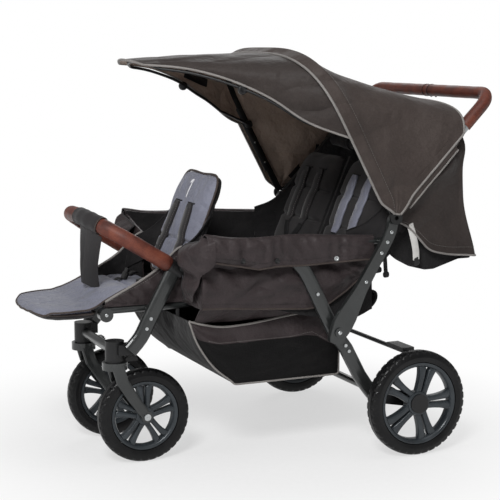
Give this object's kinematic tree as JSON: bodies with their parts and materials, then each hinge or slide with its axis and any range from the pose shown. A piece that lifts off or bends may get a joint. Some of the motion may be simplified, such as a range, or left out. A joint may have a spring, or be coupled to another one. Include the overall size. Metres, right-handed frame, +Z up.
{
  "type": "triple stroller",
  "caption": "Stroller with a narrow front seat, a wide rear tub with a bench, a folding hood, swivel casters in front and fixed wheels behind.",
  "frame": {"origin": "on the floor, under the middle of the stroller's bounding box", "axes": "the stroller faces -Y, its left side is +X, +Z is up"},
  "size_m": [0.794, 1.2198, 1.0825],
  "materials": {
    "tyre": "matte tread",
    "rim": "satin slate",
    "black_plastic": "fine grain",
    "steel": "bright",
    "frame_paint": "satin slate",
    "handle_alloy": "satin",
    "leather": "grained",
    "hood_fabric": "woven",
    "pad_fabric": "woven",
    "dark_fabric": "woven"
  },
  "bodies": {
    "frame": {"front_leg_left": "frame_paint", "front_leg_right": "frame_paint", "rear_leg_left": "frame_paint", "rear_leg_right": "frame_paint", "front_cross_tube": "frame_paint", "caster_housing_left": "black_plastic", "caster_housing_right": "black_plastic", "rear_cross_tube": "frame_paint", "wheel_bracket_left": "black_plastic", "wheel_bracket_right": "black_plastic", "seat_frame": "frame_paint", "top_rail_left": "frame_paint", "top_rail_right": "frame_paint", "tub_shell": "hood_fabric", "tub_flap_left": "hood_fabric", "tub_flap_right": "hood_fabric", "front_seat_shell": "hood_fabric", "front_seat_cushion": "pad_fabric", "rear_seat_cushion": "dark_fabric", "bumper_sockets": "black_plastic", "basket": "hood_fabric", "frame_bolts": "steel"},
    "brake": {"brake_bar": "black_plastic"},
    "bumper": {"bumper_bar": "leather", "bumper_pins": "steel"},
    "front_back": {"front_seat_back": "pad_fabric"},
    "leg_rest": {"leg_rest": "pad_fabric"},
    "handle": {"handle_plate_left": "frame_paint", "handle_plate_right": "frame_paint", "handle_sleeve_left": "frame_paint", "handle_sleeve_right": "frame_paint", "hood_panel": "hood_fabric", "rear_drape": "hood_fabric"},
    "handle_bar": {"handle_tube": "handle_alloy", "handle_grip": "leather"},
    "main_bow": {"hood_bow": "black_plastic", "hood_knobs": "black_plastic"},
    "visor": {"visor_bow": "black_plastic", "visor_panel": "hood_fabric"},
    "rear_wheel_left": {"rear_tyre_left": "tyre", "rear_rim_left": "rim", "rear_hub_cap_left": "black_plastic"},
    "caster_left": {"caster_fork_left": "frame_paint", "front_axle_left": "steel"},
    "front_wheel_left": {"front_tyre_left": "tyre", "front_rim_left": "rim"},
    "swivel_lock_left": {"swivel_lock_left": "black_plastic"},
    "bumper_button_left": {"bumper_button_left": "black_plastic"},
    "handle_button_left": {"handle_button_left": "black_plastic"},
    "rear_back_left": {"rear_seat_back_left": "dark_fabric"},
    "rear_wheel_right": {"rear_tyre_right": "tyre", "rear_rim_right": "rim", "rear_hub_cap_right": "black_plastic"},
    "caster_right": {"caster_fork_right": "frame_paint", "front_axle_right": "steel"},
    "front_wheel_right": {"front_tyre_right": "tyre", "front_rim_right": "rim"},
    "swivel_lock_right": {"swivel_lock_right": "black_plastic"},
    "bumper_button_right": {"bumper_button_right": "black_plastic"},
    "handle_button_right": {"handle_button_right": "black_plastic"},
    "rear_back_right": {"rear_seat_back_right": "dark_fabric"}
  },
  "joints": [
    {"name": "rear_wheel_spin_left", "type": "hinge", "parent": "frame", "child": "rear_wheel_left", "pos_m": [0.375, 0.34213, 0.1425], "axis": [1, 0, 0], "continuous": true},
    {"name": "caster_swivel_left", "type": "hinge", "parent": "frame", "child": "caster_left", "pos_m": [0.137, -0.42488, 0.3], "axis": [0, 0, 1], "continuous": true},
    {"name": "front_wheel_spin_left", "type": "hinge", "parent": "caster_left", "child": "front_wheel_left", "pos_m": [0.137, -0.34787, 0.125], "axis": [1, 0, 0], "continuous": true},
    {"name": "swivel_lock_lift_left", "type": "hinge", "parent": "frame", "child": "swivel_lock_left", "pos_m": [0.137, -0.39487, 0.281], "axis": [1, 0, 0], "range_deg": [0, 30]},
    {"name": "bumper_button_press_left", "type": "slide", "parent": "frame", "child": "bumper_button_left", "axis": [-1, 0, 0], "range_m": [0, 0.002], "stiffness_N_per_m": 400},
    {"name": "handle_button_press_left", "type": "slide", "parent": "handle", "child": "handle_button_left", "axis": [1, 0, 0], "range_m": [0, 0.001], "stiffness_N_per_m": 500},
    {"name": "rear_back_recline_left", "type": "hinge", "parent": "frame", "child": "rear_back_left", "pos_m": [0.15, 0.20613, 0.472], "axis": [1, 0, 0], "range_deg": [-35, 0]},
    {"name": "rear_wheel_spin_right", "type": "hinge", "parent": "frame", "child": "rear_wheel_right", "pos_m": [-0.375, 0.34213, 0.1425], "axis": [1, 0, 0], "continuous": true},
    {"name": "caster_swivel_right", "type": "hinge", "parent": "frame", "child": "caster_right", "pos_m": [-0.137, -0.42488, 0.3], "axis": [0, 0, 1], "continuous": true},
    {"name": "front_wheel_spin_right", "type": "hinge", "parent": "caster_right", "child": "front_wheel_right", "pos_m": [-0.137, -0.34787, 0.125], "axis": [1, 0, 0], "continuous": true},
    {"name": "swivel_lock_lift_right", "type": "hinge", "parent": "frame", "child": "swivel_lock_right", "pos_m": [-0.137, -0.39487, 0.281], "axis": [1, 0, 0], "range_deg": [0, 30]},
    {"name": "bumper_button_press_right", "type": "slide", "parent": "frame", "child": "bumper_button_right", "axis": [1, 0, 0], "range_m": [0, 0.002], "stiffness_N_per_m": 400},
    {"name": "handle_button_press_right", "type": "slide", "parent": "handle", "child": "handle_button_right", "axis": [-1, 0, 0], "range_m": [0, 0.001], "stiffness_N_per_m": 500},
    {"name": "rear_back_recline_right", "type": "hinge", "parent": "frame", "child": "rear_back_right", "pos_m": [-0.15, 0.20613, 0.472], "axis": [1, 0, 0], "range_deg": [-35, 0]},
    {"name": "brake_press", "type": "hinge", "parent": "frame", "child": "brake", "pos_m": [0, 0.25712, 0.165], "axis": [1, 0, 0], "range_deg": [-18, 0]},
    {"name": "bumper_slide", "type": "slide", "parent": "frame", "child": "bumper", "axis": [0, -0.8462, 0.5329], "range_m": [0, 0.06]},
    {"name": "front_back_recline", "type": "hinge", "parent": "frame", "child": "front_back", "pos_m": [0, -0.23387, 0.455], "axis": [1, 0, 0], "range_deg": [-35, 0]},
    {"name": "leg_rest_tilt", "type": "hinge", "parent": "frame", "child": "leg_rest", "pos_m": [0, -0.45487, 0.405], "axis": [1, 0, 0], "range_deg": [0, 45]},
    {"name": "frame_fold", "type": "hinge", "parent": "frame", "child": "handle", "pos_m": [0, 0.12008, 0.34701], "axis": [1, 0, 0], "range_deg": [0, 50], "deforming": ["hood_panel", "rear_drape"]},
    {"name": "hood_fold", "type": "hinge", "parent": "handle", "child": "main_bow", "pos_m": [0, 0.28013, 0.642], "axis": [1, 0, 0], "range_deg": [-50, 0], "deforming": ["hood_panel"]},
    {"name": "visor_tilt", "type": "hinge", "parent": "main_bow", "child": "visor", "pos_m": [0, 0.16745, 0.85391], "axis": [1, 0, 0], "range_deg": [-25, 20], "deforming": ["visor_panel"]},
    {"name": "handle_slide", "type": "slide", "parent": "handle", "child": "handle_bar", "axis": [0, 0.6997, 0.7145], "range_m": [-0.04, 0.08]}
  ]
}
